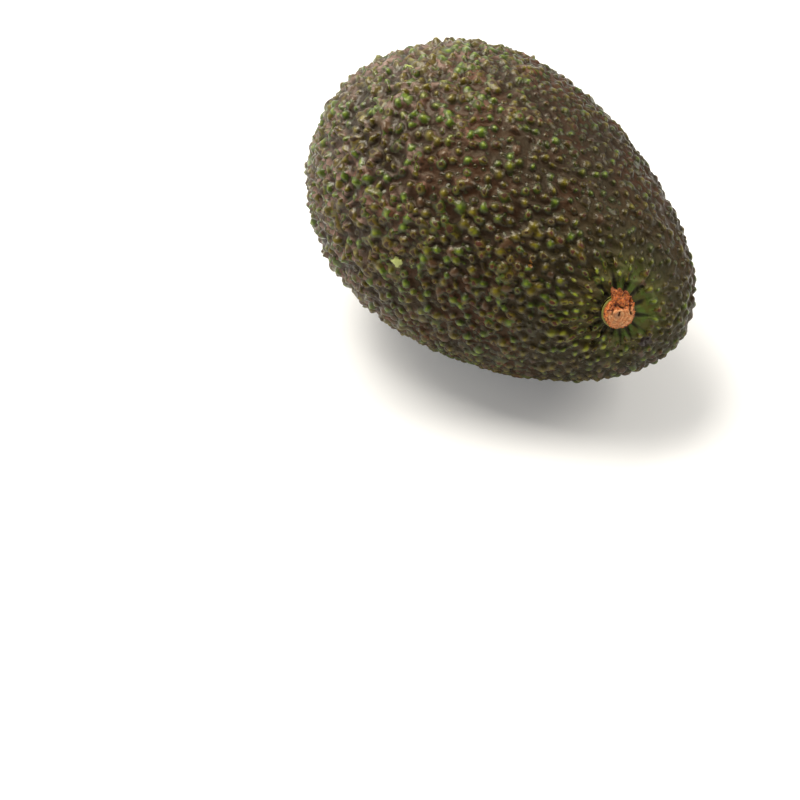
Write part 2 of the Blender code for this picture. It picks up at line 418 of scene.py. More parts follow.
# %% [markdown]
# Each nodule has a radius, a height, and a direction in which it is drawn out. They are lower and
# oval near the stem, where they point away from it. Towards the blossom end they are drawn out
# too. On the far upper side the skin is quieter, with lower and smaller nodules. Two random
# numbers of each nodule, its tint and its kind, will later choose its colours.

# %% Size the nodules
LARGE_RADIUS = 1.7 * MM
ORDINARY_RADIUS = 1.46 * MM
SMALL_RADIUS = 0.7 * MM
NODULE_STEEPNESS = 0.56
MOUND_SHARE = 0.3
MOUND_WIDENING = 1.3
MOUND_FLATTENING = 0.62
LOOK_SEED = 37
RADIUS_SPREAD = (0.78, 1.14)
HEIGHT_SPREAD = (0.72, 1.08)
QUIET_SIDE = np.array([0.55, 0.6, 0.58])
QUIET_HEIGHT = 0.3
QUIET_RADIUS = 0.1


def stretch_direction(rng, directions, near_stem):
    """The way each nodule is drawn out: away from the stem near it, and any way elsewhere."""
    normals = body_normals(directions)
    first, second = tangents(normals)
    turn = rng.uniform(0, math.pi, len(directions))[:, None]
    loose = np.cos(turn) * first + np.sin(turn) * second
    outward = centres - STEM_POINT
    outward -= (outward * normals).sum(axis=1)[:, None] * normals
    outward /= np.linalg.norm(outward, axis=1)[:, None]
    return np.where((near_stem > 0.25)[:, None], outward, loose)


def nodule_facts():
    """Radius, height, direction of stretch, stretch, tint and kind of every nodule."""
    rng = np.random.default_rng(LOOK_SEED)
    count = len(centres)
    index = np.arange(count)
    base = np.where(index < large_count, LARGE_RADIUS, ORDINARY_RADIUS)
    base = np.where(index < ordinary_count, base, SMALL_RADIUS)
    radius = base * draws**1.5 * rng.uniform(*RADIUS_SPREAD, count)
    kind = rng.uniform(0, 1, count)
    mound = (index < large_count) & (kind > 1 - MOUND_SHARE)
    radius[mound] *= MOUND_WIDENING
    reach, _ = round_stem(centres)
    near_stem = 1 - smooth_step(reach, 0.8 * FILL_CLEAR, STEM_FADE)
    radius *= 1 - 0.1 * near_stem
    directions = to_directions(centres)
    quiet = smooth_step(directions @ QUIET_SIDE, 0.2, 0.85)
    radius *= 1 - QUIET_RADIUS * quiet
    near_blossom = smooth_step(-directions[:, 0], 0.1, 0.75)
    direction = stretch_direction(rng, directions, near_stem)
    stretch = 1 + np.abs(rng.normal(0, 0.1 + 0.16 * near_blossom, count)) + 0.26 * near_stem
    height = NODULE_STEEPNESS * radius * (1 - 0.2 * near_stem)
    height *= rng.uniform(*HEIGHT_SPREAD, count)
    height[mound] *= MOUND_FLATTENING
    height *= 1 - QUIET_HEIGHT * quiet
    return {
        "radius": radius,
        "height": height,
        "direction": direction,
        "stretch": stretch,
        "tint": rng.uniform(0, 1, count),
        "kind": kind,
    }


facts = nodule_facts()
print("nodule radii from", round(facts["radius"].min() / MM, 2), "to",
      round(facts["radius"].max() / MM, 2), "mm")

# %% [markdown]
# ## The skin's mesh
# A mesh shows a small dome well only if its points lie in rings round the dome. So every nodule
# brings its own rings of points. Each ring is a share of the nodule's radius and a number of sides.

# %% Rings round the nodules
RINGS = ((0.4, 6), (0.72, 9), (0.95, 11), (1.15, 11))
SMALL_RINGS = ((0.6, 5), (1.1, 7))


def nodule_rings(chosen, rings):
    """Points of the rings round the chosen nodules, and the nodule that each belongs to."""
    direction = facts["direction"][chosen]
    side = np.cross(body_normals(to_directions(centres[chosen])), direction)
    long = (facts["radius"] * facts["stretch"])[chosen]
    wide = (facts["radius"] / facts["stretch"])[chosen]
    points, owners = [centres[chosen]], [chosen]
    for share, sides in rings:
        angle = (np.arange(sides) + 0.5 * share) * (2 * math.pi / sides)
        along = np.outer(long * share, np.cos(angle))
        across = np.outer(wide * share, np.sin(angle))
        placed = centres[chosen][:, None] + along[..., None] * direction[:, None]
        points.append((placed + across[..., None] * side[:, None]).reshape(-1, 3))
        owners.append(np.repeat(chosen, sides))
    return np.vstack(points), np.concatenate(owners)


def nearest_nodules(points, count=4):
    """The nodule in whose reach each point lies deepest, and how far out it lies, 1 at its edge."""
    tree = KDTree(len(centres))
    for index, centre in enumerate(centres):
        tree.insert(centre, index)
    tree.balance()
    near = np.array([[hit[1] for hit in tree.find_n(p, count)] for p in points])
    away = points[:, None] - centres[near]
    along = (away * facts["direction"][near]).sum(axis=2)
    across = np.sqrt(np.maximum((away**2).sum(axis=2) - along**2, 0))
    radius, stretch = facts["radius"][near], facts["stretch"][near]
    share = np.hypot(along / (radius * stretch), across * stretch / radius)
    best = share.argmin(axis=1)
    rows = np.arange(len(points))
    return near[rows, best], share[rows, best]


print("a nodule's rings have", sum(sides for _, sides in RINGS), "points")

# %% [markdown]
# The stem brings rings round itself too, and an even spiral of points fills the ground between.
# A ring's point that lies deep in a neighbour is left out, because the neighbour has its own.

# %% Lay out the points
GROUND_POINTS = 46000
GROUND_START = 1.28
STEM_SIDES = 170
STEM_RING_STEP = 0.36 * MM
STEM_RINGS_END = 12.5 * MM
OWN_REACH = 1.3
FOOT_GAP = 1.04
GOLDEN_ANGLE = math.pi * (3 - math.sqrt(5))


def stem_rings():
    """Rings of points round the stem, closer together than the puckers are wide."""
    reaches = np.arange(SOCKET_FLOOR_RADIUS, STEM_RINGS_END, STEM_RING_STEP)
    reaches = np.concatenate([reaches[1:], [SOCKET_FLOOR_RADIUS - 0.01 * MM, SOCKET_RADIUS, 2 * MM]])
    angle = np.arange(STEM_SIDES) * (2 * math.pi / STEM_SIDES)
    across = np.outer(np.cos(angle), STEM_FIRST) + np.outer(np.sin(angle), STEM_SECOND)
    points = (STEM_POINT + reaches[:, None, None] * across).reshape(-1, 3)
    return np.vstack([STEM_POINT, points])


def ground_spiral():
    """Points spread evenly over the fruit, along a spiral from pole to pole."""
    index = np.arange(GROUND_POINTS)
    along = 1 - (2 * index + 1) / GROUND_POINTS
    off = np.sqrt(1 - along**2)
    turn = index * GOLDEN_ANGLE
    return on_body(np.column_stack([along, off * np.cos(turn), off * np.sin(turn)]))


def skin_directions():
    """Every point of the skin as a direction, the flat spot's edge first."""
    big, small = np.arange(ordinary_count), np.arange(ordinary_count, len(centres))
    ringed, owners = zip(nodule_rings(big, RINGS), nodule_rings(small, SMALL_RINGS))
    ringed, owners = np.vstack(ringed), np.concatenate(owners)
    nearest, share = nearest_nodules(ringed)
    own = ringed[(nearest == owners) | (share > OWN_REACH)]
    loose = np.vstack([ground_spiral(), stem_rings()])
    reach, _ = round_stem(loose)
    is_ring = np.arange(len(loose)) >= GROUND_POINTS
    wanted = is_ring | (reach > STEM_RINGS_END)
    loose = loose[wanted & (nearest_nodules(loose)[1] > GROUND_START)]
    found = to_directions(np.vstack([own, loose]))
    off_foot = found @ FOOT_AXIS < math.cos(FOOT_ANGLE * FOOT_GAP)
    return np.vstack([foot_ring(), found[off_foot]])


skin_points = skin_directions()
print(len(skin_points), "points on the skin")

# %% [markdown]
# Seen from the foot, the whole skin can be spread on a plane, where Delaunay's rule joins the
# points into the best triangles. The flat spot then closes the shape.

# %% Join them
def flattened(directions):
    """Directions spread on a plane, seen from the foot, with the foot's edge outermost."""
    depth = 1 - directions @ FOOT_AXIS
    return np.column_stack([directions @ FOOT_AHEAD / depth, directions @ FOOT_SIDE / depth])


def new_mesh(name, points, faces, edges=()):
    mesh = bpy.data.meshes.new(name)
    mesh.from_pydata([tuple(p) for p in points], edges, faces)
    mesh.update()
    return mesh


def store(mesh, name, values, kind="FLOAT"):
    """Keeps one value for each point of a mesh, under a name that node trees can read."""
    key = "vector" if kind == "FLOAT_VECTOR" else "value"
    mesh.attributes.new(name, kind, "POINT").data.foreach_set(key, values)


def add_object(name, mesh):
    made = bpy.data.objects.new(name, mesh)
    bpy.context.scene.collection.objects.link(made)
    return made


def bare_skin():
    """The fruit before its nodules are raised: one closed mesh with its faces outwards."""
    plane = [Vector(p) for p in flattened(skin_points)]
    triangles = delaunay_2d_cdt(plane, [], [], 0, 1e-9)[2]
    smooth = on_body(skin_points)
    relief = ground_relief(skin_points, smooth)
    points = in_place(smooth + relief[:, None] * body_normals(skin_points))
    points[:FOOT_SIDES, 2] = 0.0
    faces = [tuple(t) for t in triangles]
    a, b, c = (points[list(corner)] for corner in zip(*faces[:1]))
    outward = (np.cross(b - a, c - a) * (a - np.array(MIDDLE))).sum() > 0
    faces = faces if outward else [f[::-1] for f in faces]
    foot = tuple(range(FOOT_SIDES))
    turned = np.cross(points[1] - points[0], points[2] - points[1])[2] > 0
    mesh = new_mesh("fruit_skin", points, faces + [foot[::-1] if turned else foot])
    reach, angle = round_stem(smooth)
    crease = creases(reach, angle, PUCKERS, PUCKER_WIDTH, PUCKER_REACH)
    store(mesh, "reach", reach / MM)
    store(mesh, "crease", crease)
    store(mesh, "near_side", np.cos(angle - NEAR_SIDE))
    return mesh


skin = add_object("fruit_skin", bare_skin())
print(len(skin.data.polygons), "triangles in the skin")

# %% [markdown]
# ## Seeds that the nodes can read
# Geometry Nodes raise the nodules. They read the centres from a mesh of loose points, with each
# nodule's facts as attributes of its point. Folds of skin link many neighbours, so a random share
# of the shortest lines between neighbours is kept as edges of the same mesh.

# %% Make the seed meshes
LINK_SHARE = 0.4
LINK_LENGTH = 4.2 * MM
LINK_SEED = 5


def seed_mesh(name, chosen, edges=()):
    directions = to_directions(centres[chosen])
    ground = ground_relief(directions, centres[chosen])[:, None] * body_normals(directions)
    mesh = new_mesh(name, in_place(centres[chosen] + ground), (), list(edges))
    for key in ("radius", "height", "stretch", "tint", "kind"):
        store(mesh, key, facts[key][chosen])
    store(mesh, "direction", pitched(facts["direction"][chosen]).ravel(), "FLOAT_VECTOR")
    return add_object(name, mesh)


def links(chosen):
    """A random share of the short lines between neighbouring nodules, as pairs."""
    plane = [Vector(p) for p in flattened(to_directions(centres[chosen]))]
    pairs = set()
    for triangle in delaunay_2d_cdt(plane, [], [], 0, 1e-9)[2]:
        for a, b in zip(triangle, (*triangle[1:], triangle[0])):
            pairs.add((min(a, b), max(a, b)))
    rnd = random.Random(LINK_SEED)
    points = centres[chosen]
    return [
        (a, b)
        for a, b in sorted(pairs)
        if np.linalg.norm(points[a] - points[b]) < LINK_LENGTH and rnd.random() < LINK_SHARE
    ]


ordinary = np.arange(ordinary_count)
large_seeds = seed_mesh("large_seeds", ordinary, links(ordinary))
small_seeds = seed_mesh("small_seeds", np.arange(ordinary_count, len(centres)))
print(len(large_seeds.data.edges), "folds link the nodules")

# %% [markdown]
# ## Helpers for node trees
# Every node is added the same way: its kind, its options, and a value or a link for each input.
# Sums and products are so common that they have short names of their own.

# %% Node helpers
def set_inputs(tree, node, inputs):
    """Gives each of a node's inputs a value or a link."""
    for key, value in inputs.items():
        if isinstance(value, bpy.types.NodeSocket):
            tree.links.new(value, node.inputs[key])
        else:
            node.inputs[key].default_value = value


def add_node(tree, kind, settings=None, inputs=None):
    """Adds a node, sets its options and its inputs, and returns its outputs."""
    made = tree.nodes.new(kind)
    for name, value in (settings or {}).items():
        setattr(made, name, value)
    set_inputs(tree, made, inputs or {})
    return made.outputs


def maths(tree, operation, *values):
    """A Math node on numbers or sockets, returned as its result."""
    return add_node(tree, "ShaderNodeMath", {"operation": operation}, dict(enumerate(values)))[0]


def plus(tree, first, second):
    return maths(tree, "ADD", first, second)


def minus(tree, first, second):
    return maths(tree, "SUBTRACT", first, second)


def times(tree, first, second):
    return maths(tree, "MULTIPLY", first, second)


def vectors(tree, operation, *values):
    """A Vector Math node, returned as its number or its vector."""
    settings = {"operation": operation}
    made = add_node(tree, "ShaderNodeVectorMath", settings, dict(enumerate(values)))
    return made["Value" if operation in ("DOT_PRODUCT", "LENGTH", "DISTANCE") else "Vector"]


def scaled(tree, vector, factor):
    """A vector times a number."""
    return add_node(tree, "ShaderNodeVectorMath", {"operation": "SCALE"}, {0: vector, "Scale": factor})[0]


def parts_of(tree, vector):
    """The x, y and z of a vector."""
    return add_node(tree, "ShaderNodeSeparateXYZ", {}, {0: vector})


def ramp(tree, value, low, high, start=0.0, end=1.0):
    """A smooth step from start to end as value goes from low to high."""
    inputs = {0: value, 1: low, 2: high, 3: start, 4: end}
    return add_node(tree, "ShaderNodeMapRange", {"interpolation_type": "SMOOTHSTEP"}, inputs)[0]


def new_group(name, kind, inputs, outputs):
    """A node group with named sockets: its tree, what it is given, and its output node."""
    tree = bpy.data.node_groups.new(name, kind)
    for side, sockets in (("INPUT", inputs), ("OUTPUT", outputs)):
        for label, socket_kind in sockets.items():
            tree.interface.new_socket(label, in_out=side, socket_type="NodeSocket" + socket_kind)
    return tree, tree.nodes.new("NodeGroupInput").outputs, tree.nodes.new("NodeGroupOutput")


# %% [markdown]
# ## One nodule's dome
# This group finds the nearest seed, and how far out the point lies from it: 0 at the centre and 1
# at the nodule's edge, measured as an ellipse where the nodule is drawn out. From that it gives
# the height of a bead: steep at its edge and round on top. A real nodule is never a true oval, so
# the place that is measured is first shaken a little by a noise.

# %% The dome group
DOME_POWER = 2.3
DOME_ROUNDNESS = 0.62
WARP = 0.9 * MM
WARP_SIZE = 1.8 * MM


def sample(tree, geometry, index, field, kind="FLOAT"):
    """The value that a field has at one point of another geometry."""
    settings = {"data_type": kind, "domain": "POINT"}
    inputs = {"Geometry": geometry, "Value": field, "Index": index}
    return add_node(tree, "GeometryNodeSampleIndex", settings, inputs)[0]


def named(tree, name, kind="FLOAT"):
    """A named attribute as a field."""
    return add_node(tree, "GeometryNodeInputNamedAttribute", {"data_type": kind}, {"Name": name})[0]


def position(tree):
    return add_node(tree, "GeometryNodeInputPosition")[0]


def noise_field(tree, size, detail):
    """A noise in lumps of a size, read at the point itself, as a number and as a colour."""
    inputs = {"Vector": position(tree), "Scale": maths(tree, "DIVIDE", 1.0, size), "Detail": detail}
    return add_node(tree, "ShaderNodeTexNoise", {}, inputs)


def build_dome_group():
    outputs = {"Height": "Float", "Edge": "Float", "Tint": "Float", "Kind": "Float"}
    tree, given, made = new_group("Nodule Dome", "GeometryNodeTree", {"Seeds": "Geometry"}, outputs)
    seeds, place = given["Seeds"], position(tree)
    shake = vectors(tree, "SUBTRACT", noise_field(tree, WARP_SIZE, 1.0)["Color"], (0.5, 0.5, 0.5))
    warped = vectors(tree, "ADD", place, scaled(tree, shake, WARP))
    nearest_inputs = {"Geometry": seeds, "Sample Position": warped}
    nearest = add_node(tree, "GeometryNodeSampleNearest", {}, nearest_inputs)[0]
    away = vectors(tree, "SUBTRACT", warped, sample(tree, seeds, nearest, place, "FLOAT_VECTOR"))
    direction = named(tree, "direction", "FLOAT_VECTOR")
    direction = sample(tree, seeds, nearest, direction, "FLOAT_VECTOR")
    along = vectors(tree, "DOT_PRODUCT", away, direction)
    length = vectors(tree, "LENGTH", away)
    across = minus(tree, times(tree, length, length), times(tree, along, along))
    across = maths(tree, "SQRT", maths(tree, "MAXIMUM", across, 0.0))
    radius, height, stretch, tint, kind = (
        sample(tree, seeds, nearest, named(tree, fact))
        for fact in ("radius", "height", "stretch", "tint", "kind")
    )
    long = maths(tree, "DIVIDE", along, times(tree, radius, stretch))
    wide = maths(tree, "DIVIDE", times(tree, across, stretch), radius)
    edge = maths(tree, "SQRT", plus(tree, times(tree, long, long), times(tree, wide, wide)))
    inside = minus(tree, 1.0, maths(tree, "POWER", edge, DOME_POWER))
    share = maths(tree, "POWER", maths(tree, "MAXIMUM", inside, 0.0), DOME_ROUNDNESS)
    results = {"Height": times(tree, share, height), "Edge": edge, "Tint": tint, "Kind": kind}
    set_inputs(tree, made, results)
    return tree


dome_group = build_dome_group()
print("dome group has", len(dome_group.nodes), "nodes")

# %% [markdown]
# ## Between the nodules
# Skin that shrinks as it ripens folds. A low fold follows each line that links two neighbours. On
# the blossom half the folds rise into crests, which stand where a noise crosses its middle value:
# such lines wander and fork as real folds do.

# %% Folds and crests
FOLD_HEIGHT = 0.42 * MM
FOLD_WIDTH = 0.7 * MM
CREST_HEIGHT = 0.9 * MM
CREST_SIZE = 5.0 * MM
CREST_SPAN = 0.11
CREST_REACH = (16 * MM, -22 * MM)


def fold_share(tree, seeds, width):
    """1 on the lines that link neighbouring nodules, and less beside them."""
    folds = add_node(tree, "GeometryNodeProximity", {"target_element": "EDGES"}, {0: seeds})
    gap = maths(tree, "DIVIDE", folds["Distance"], width)
    return maths(tree, "POWER", 2.718, times(tree, times(tree, gap, gap), -1.0))


def crest_share(tree, size, along):
    """1 on the top of the crests and 0 between them, for places along the fruit."""
    off_middle = minus(tree, noise_field(tree, size, 2.0)[0], 0.5)
    crest = maths(tree, "DIVIDE", maths(tree, "ABSOLUTE", off_middle), CREST_SPAN)
    crest = maths(tree, "MAXIMUM", minus(tree, 1.0, crest), 0.0)
    return times(tree, crest, ramp(tree, along, *CREST_REACH))


print("crests stand up to", CREST_HEIGHT / MM, "mm on the blossom half")

# %% [markdown]
# ## Raising the skin
# The tree lifts each point along its normal by the taller of the large and small domes. The same
# domes, blurred over the mesh, give the broad skirt that every nodule stands on. Folds and crests
# run between them, and slow lumps make the whole skin uneven. The skin starts a little sunk, so
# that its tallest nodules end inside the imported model's box. For the material, the tree also keeps
# how far from a nodule's centre each point lies and which kind of nodule it is.

# %% The skin tree
SKIRT_SHARE = 1.1
SKIRT_BLURS = 12
LUMP_HEIGHT = 0.55 * MM
LUMP_SIZE = 5.5 * MM
OFF_FLOOR = (0.2 * MM, 4 * MM)
SINK = 1.45 * MM
SINK_REACH = (3.0, 14.0)
SINK_AT_STEM = 0.3


def skin_rise(tree, given, domes, between, parts):
    """How far each point is raised by the domes, their skirts, the folds and the slow lumps."""
    dome = maths(tree, "MAXIMUM", domes[0]["Height"], domes[1]["Height"])
    inputs = {"Value": dome, "Iterations": SKIRT_BLURS}
    skirt = add_node(tree, "GeometryNodeBlurAttribute", {"data_type": "FLOAT"}, inputs)[0]
    lumps = times(tree, minus(tree, noise_field(tree, given["Lump Size"], 1.0)[0], 0.5), 2.0)
    lumps = times(tree, times(tree, lumps, given["Lump Height"]), ramp(tree, parts[2], *OFF_FLOOR))
    rise = plus(tree, dome, times(tree, skirt, given["Skirt"]))
    rise = plus(tree, rise, plus(tree, between, lumps))
    off_stem = ramp(tree, named(tree, "reach"), *SINK_REACH, SINK_AT_STEM, 1.0)
    return minus(tree, rise, times(tree, given["Sink"], off_stem))


def raised_skin(tree, given, shape, rise, parts):
    """The skin moved along its normals, and nowhere below the floor."""
    normal = add_node(tree, "GeometryNodeInputNormal")[0]
    level = {0: parts[0], 1: parts[1], 2: maths(tree, "MAXIMUM", parts[2], 0.0)}
    level = add_node(tree, "ShaderNodeCombineXYZ", {}, level)[0]
    steps = (
        ("GeometryNodeSetPosition", {"Offset": scaled(tree, normal, rise)}),
        ("GeometryNodeSetPosition", {"Position": level}),
        ("GeometryNodeRealizeInstances", {}),
        ("GeometryNodeSetMaterial", {"Material": given["Material"]}),
    )
    for kind, inputs in steps:
        shape = add_node(tree, kind, {}, {"Geometry": shape, **inputs})[0]
    return shape


def build_skin_tree():
    sizes = ("Skirt", "Fold Height", "Fold Width", "Lump Height", "Lump Size",
             "Crest Height", "Crest Size", "Sink")
    inputs = {"Geometry": "Geometry", "Large Seeds": "Object", "Small Seeds": "Object"}
    inputs |= {**dict.fromkeys(sizes, "Float"), "Material": "Material"}
    tree, given, made = new_group("Avocado Skin", "GeometryNodeTree", inputs, {"Geometry": "Geometry"})
    seeds = [
        add_node(tree, "GeometryNodeObjectInfo", {}, {"Object": given[label]})["Geometry"]
        for label in ("Large Seeds", "Small Seeds")
    ]
    settings = {"node_tree": dome_group}
    big, small = (add_node(tree, "GeometryNodeGroup", settings, {"Seeds": each}) for each in seeds)
    parts = parts_of(tree, position(tree))
    fold = fold_share(tree, seeds[0], given["Fold Width"])
    crest = crest_share(tree, given["Crest Size"], parts[0])
    between = plus(tree, times(tree, crest, given["Crest Height"]),
                   times(tree, fold, given["Fold Height"]))
    rise = skin_rise(tree, given, (big, small), between, parts)

    kept = {"fold": fold, "relief": maths(tree, "DIVIDE", rise, MM)}
    big_wins = maths(tree, "GREATER_THAN", big["Height"], small["Height"])
    for name in ("Edge", "Tint", "Kind"):
        inputs = {0: big_wins, 2: small[name], 3: big[name]}
        kept[name.lower()] = add_node(tree, "ShaderNodeMix", {"data_type": "FLOAT"}, inputs)[0]
    shape = given["Geometry"]
    for name, field in kept.items():
        inputs = {"Geometry": shape, "Name": name, "Value": field}
        shape = add_node(tree, "GeometryNodeStoreNamedAttribute", {"data_type": "FLOAT"}, inputs)[0]
    set_inputs(tree, made, {"Geometry": raised_skin(tree, given, shape, rise, parts)})
    return tree


skin_tree = build_skin_tree()
print("skin tree has", len(skin_tree.nodes), "nodes")

# %% [markdown]
# ## Grain and colours
# Skin and wood both have a fine grain that is too small for the mesh. One group gives it to both:
# a mask from 0 to 1, and a height for a Bump node. A finish is then a stack of colours, each laid
# over the last one where its mask is 1, so that one layer can be changed without the others.

# %% The grain group
def build_grain_group():
    inputs = {"Vector": "Vector", "Size": "Float", "Detail": "Float", "Low": "Float", "High": "Float"}
    outputs = {"Mask": "Float", "Height": "Float"}
    tree, given, made = new_group("Grain", "ShaderNodeTree", inputs, outputs)
    scale = maths(tree, "DIVIDE", 1.0, given["Size"])
    inputs = {"Vector": given["Vector"], "Scale": scale, "Detail": given["Detail"], "Roughness": 0.6}
    cloud = add_node(tree, "ShaderNodeTexNoise", {}, inputs)[0]
    mask = ramp(tree, cloud, given["Low"], given["High"])
    set_inputs(tree, made, {"Mask": mask, "Height": cloud})
    return tree


grain_group = build_grain_group()
print("grain group has", len(grain_group.nodes), "nodes")


def grain(tree, vector, size, detail=3.0, low=0.35, high=0.65):
    """The grain group placed in a material with its own sizes."""
    inputs = {"Vector": vector, "Size": size, "Detail": detail, "Low": low, "High": high}
    return add_node(tree, "ShaderNodeGroup", {"node_tree": grain_group}, inputs)


def linear(red, green, blue):
    """A colour given as it looks on a screen, 0 to 255, as the linear values that shaders use."""
    share = [c / 255 for c in (red, green, blue)]
    return (*[c / 12.92 if c <= 0.04045 else ((c + 0.055) / 1.055) ** 2.4 for c in share], 1)


def blend(tree, factor, first, second):
    """The first colour where factor is 0, the second where it is 1."""
    inputs = {0: factor, 6: first, 7: second}
    return add_node(tree, "ShaderNodeMix", {"data_type": "RGBA"}, inputs)[2]


def layered(tree, colour, layers):
    """A colour with others laid over it in turn, each where its mask is 1."""
    for mask, over in layers:
        colour = blend(tree, mask, colour, over)
    return colour


def new_material(name):
    """A material, its tree and its Principled node."""
    material = bpy.data.materials.new(name)
    material.use_nodes = True
    return material, material.node_tree, material.node_tree.nodes["Principled BSDF"]


def place_on_object(tree):
    return add_node(tree, "ShaderNodeTexCoord")["Object"]


def attribute(tree, name):
    return add_node(tree, "ShaderNodeAttribute", {"attribute_name": name})["Fac"]


# %% [markdown]
# ## The skin between the nodules
# The ground of ripening skin is dull brown. It is green round the stem, where puckers are streaked
# with a fresher green; painted shade makes their creases and the crevice round the socket nearly
# black. On the blossom half a mauve tint lies over it, partly bloom and partly painted sheen, and
# the tops of the folds get a pale painted sheen.

# %% The ground's colour
GROUND_BROWN = linear(99, 51, 22)
GROUND_DARK = linear(56, 32, 12)
GROUND_GREEN = linear(50, 48, 18)
STEM_GREEN = linear(70, 76, 27)
# Painted sheen on the tops of the folds, and below it a mauve tint that is partly bloom, partly painted
# sheen
FOLD_PAINTED_SHEEN = linear(146, 122, 110)
BLOOM_AND_SHEEN_MAUVE = linear(120, 98, 90)
LOBE_GREEN = linear(72, 98, 38)
# Painted shade for the pucker creases and the crevice round the socket
CREASE_PAINTED_SHADE = linear(22, 20, 12)
COLLAR_GREEN = linear(128, 124, 48)
PATCH_SIZE = 14 * MM
GREEN_PATCH_SIZE = 22 * MM
STREAK_SIZE = 3 * MM
BLOOM_AND_SHEEN_SPAN = (8 * MM, -34 * MM)
FOLD_SHEEN_SPAN = (16 * MM, -20 * MM)
STEM_GREEN_SPAN = (12 * MM, 32 * MM)


def ground_colour(tree, place, along, reach):
    """The colour between the nodules. The reach from the stem is in millimetres."""
    from_stem = vectors(tree, "DISTANCE", place, spot(STEM_POINT))
    patches = grain(tree, place, PATCH_SIZE, 3.0, 0.38, 0.62)["Mask"]
    green_patches = grain(tree, place, GREEN_PATCH_SIZE, 2.0, 0.46, 0.7)["Mask"]
    streaks = grain(tree, place, STREAK_SIZE, 3.0, 0.4, 0.6)["Mask"]
    near_side = ramp(tree, attribute(tree, "near_side"), -0.3, 0.6)
    # Painted shade: nearly black in the crevice round the socket and down the pucker creases
    crevice_shade = ramp(tree, reach, 5.6, 4.3, 0.0, 0.8)
    crease = ramp(tree, attribute(tree, "crease"), 0.25, 0.75)
    # Painted sheen: the tops of the folds are lightened, most on the blossom half
    fold_sheen = ramp(tree, along, *FOLD_SHEEN_SPAN, 0.1, 0.6)
    return layered(tree, GROUND_DARK, (
        (patches, GROUND_BROWN),
        (times(tree, green_patches, 0.4), GROUND_GREEN),
        # partly wax bloom and partly painted sheen: a mauve tint over the blossom half
        (times(tree, ramp(tree, along, *BLOOM_AND_SHEEN_SPAN, 0.0, 0.75), patches), BLOOM_AND_SHEEN_MAUVE),
        (ramp(tree, from_stem, *STEM_GREEN_SPAN, 0.85, 0.0), STEM_GREEN),
        (times(tree, ramp(tree, reach, 14.0, 6.0, 0.0, 0.8), streaks), LOBE_GREEN),
        (times(tree, near_side, ramp(tree, reach, 22.0, 14.0, 0.0, 0.6)), GROUND_DARK),
        # painted shade in the crevice and the creases
        (maths(tree, "MAXIMUM", crevice_shade, crease), CREASE_PAINTED_SHADE),
        (times(tree, ramp(tree, reach, 4.15, 3.95), streaks), COLLAR_GREEN),
        # painted sheen on the fold tops
        (times(tree, attribute(tree, "fold"), fold_sheen), FOLD_PAINTED_SHEEN),
    ))


print("the green of the stem end fades out", STEM_GREEN_SPAN[1] / MM, "mm from the stem")

# %% [markdown]
# ## The nodules' colour
# The nodules have a ring of painted shade at their feet, are olive or green on their sides and
# yellow-green on their tips.
# About a third of them have a brown scar on top, or a red one near the stem, with a tan rim, and a
# few are scabbed all over. Each nodule has its own draws, so neighbours differ. Edge is 0 at a
# nodule's centre and 1 at its foot.

# %% The nodules' colour
# Painted shade at the nodules' feet
NODULE_FOOT_SHADE = linear(40, 30, 13)
NODULE_OLIVE = linear(70, 60, 16)
NODULE_GREEN = linear(60, 74, 22)
TIP_OLIVE = linear(132, 122, 34)
TIP_GREEN = linear(110, 130, 36)
STEM_TIP = linear(150, 160, 48)
SCAR_RIM = linear(104, 84, 36)
SCAR_BROWN = linear(50, 32, 18)
SCAR_RED = linear(72, 34, 24)
SCAB_BROWN = linear(78, 56, 38)
SCARRED_FROM = 0.64
RED_FROM = 0.8
SCABBED = (0.54, 0.6)
RED_SPAN = (-5 * MM, 18 * MM)


def nodule_colour(tree, along, reach, edge, uneven):
    """The colour of the nodules, and a mask of the scars on them."""
    tint, kind = attribute(tree, "tint"), attribute(tree, "kind")
    side = blend(tree, ramp(tree, tint, 0.35, 0.75), NODULE_OLIVE, NODULE_GREEN)
    tip = blend(tree, ramp(tree, tint, 0.3, 0.8), TIP_OLIVE, TIP_GREEN)
    bright = times(tree, ramp(tree, edge, 0.6, 0.1), ramp(tree, tint, 0.0, 1.0, 0.5, 0.95))
    by_stem = times(tree, ramp(tree, edge, 0.75, 0.1, 0.0, 0.8), ramp(tree, reach, 18.0, 11.0))
    near_side = ramp(tree, attribute(tree, "near_side"), -0.6, 0.6, 0.3, 1.0)
    ragged_edge = plus(tree, edge, times(tree, uneven, 0.9))
    scarred = ramp(tree, kind, SCARRED_FROM, SCARRED_FROM + 0.02)
    scars = times(tree, scarred, ramp(tree, ragged_edge, 0.5, 0.3))
    reddish = times(tree, ramp(tree, kind, RED_FROM, RED_FROM + 0.02), ramp(tree, along, *RED_SPAN))
    scabbed = times(tree, ramp(tree, kind, SCABBED[0], SCABBED[0] + 0.01),
                    ramp(tree, kind, SCABBED[1], SCABBED[1] - 0.01))
    # The base layer is painted shade round each nodule's foot; the side colour covers it further in
    colour = layered(tree, NODULE_FOOT_SHADE, (
        (ramp(tree, edge, 1.05, 0.75), side),
        (bright, tip),
        (times(tree, by_stem, near_side), STEM_TIP),
        (times(tree, scarred, ramp(tree, ragged_edge, 0.66, 0.5, 0.0, 0.5)), SCAR_RIM),
        (scars, blend(tree, reddish, SCAR_BROWN, SCAR_RED)),
        (scabbed, SCAB_BROWN),
    ))
    return colour, scars


print(round(100 * (facts["kind"] > SCARRED_FROM).mean()), "% of the nodules carry a scar")

# %% [markdown]
# ## The skin's finish
# Hollows between nodules get painted shade, and a few small marks lie over everything. Nodules
# shine more than the ground does, and their scars don't shine at all. The blossom half also has a
# waxy sheen. The finest creases are too small for the mesh, so they are bump alone.

# %% The skin material
# Painted shade for the hollows between nodules: its colour and how strongly it darkens
HOLLOW_PAINTED_SHADE = linear(20, 13, 8)
HOLLOW_SHADE = 0.75
